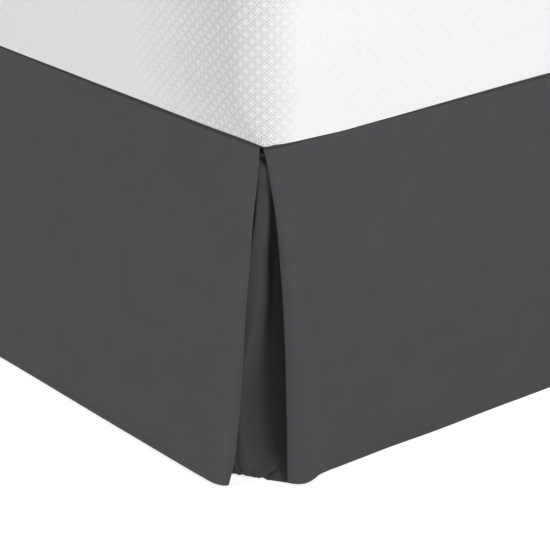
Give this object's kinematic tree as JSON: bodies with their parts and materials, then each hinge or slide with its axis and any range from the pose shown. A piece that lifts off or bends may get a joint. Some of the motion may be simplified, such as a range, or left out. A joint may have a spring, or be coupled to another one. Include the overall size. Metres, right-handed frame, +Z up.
{
  "type": "bed skirt on a bed base with a mattress",
  "caption": "Tailored bed skirt with plain drops and open inverted-pleat corners, hung from a deck between a box spring and a mattress on a low steel frame.",
  "frame": {"origin": "on the floor under the middle of the bed", "axes": "+Z up, -Y towards the foot of the bed, +Y towards its head, +X towards the right side seen from the foot"},
  "size_m": [1.5704, 2.04, 0.6403],
  "materials": {
    "skirt_microfibre": "matt brushed charcoal microfibre",
    "mattress_jacquard": "white knitted cover with a small embossed diamond lattice",
    "base_ticking": "plain off-white woven cover",
    "frame_steel": "satin black powder coat"
  },
  "bodies": {
    "root": {"deck": "skirt_microfibre", "side_drop_left": "skirt_microfibre", "side_drop_right": "skirt_microfibre", "foot_drop": "skirt_microfibre", "corner_inset_left": "skirt_microfibre", "corner_inset_right": "skirt_microfibre", "mattress": "mattress_jacquard", "box_spring": "base_ticking", "rail_left": "frame_steel", "rail_right": "frame_steel", "cross_rail_foot": "frame_steel", "cross_rail_centre": "frame_steel", "cross_rail_head": "frame_steel", "leg_left_foot": "frame_steel", "leg_middle_foot": "frame_steel", "leg_right_foot": "frame_steel", "leg_left_centre": "frame_steel", "leg_middle_centre": "frame_steel", "leg_right_centre": "frame_steel", "leg_left_head": "frame_steel", "leg_middle_head": "frame_steel", "leg_right_head": "frame_steel"}
  },
  "joints": []
}
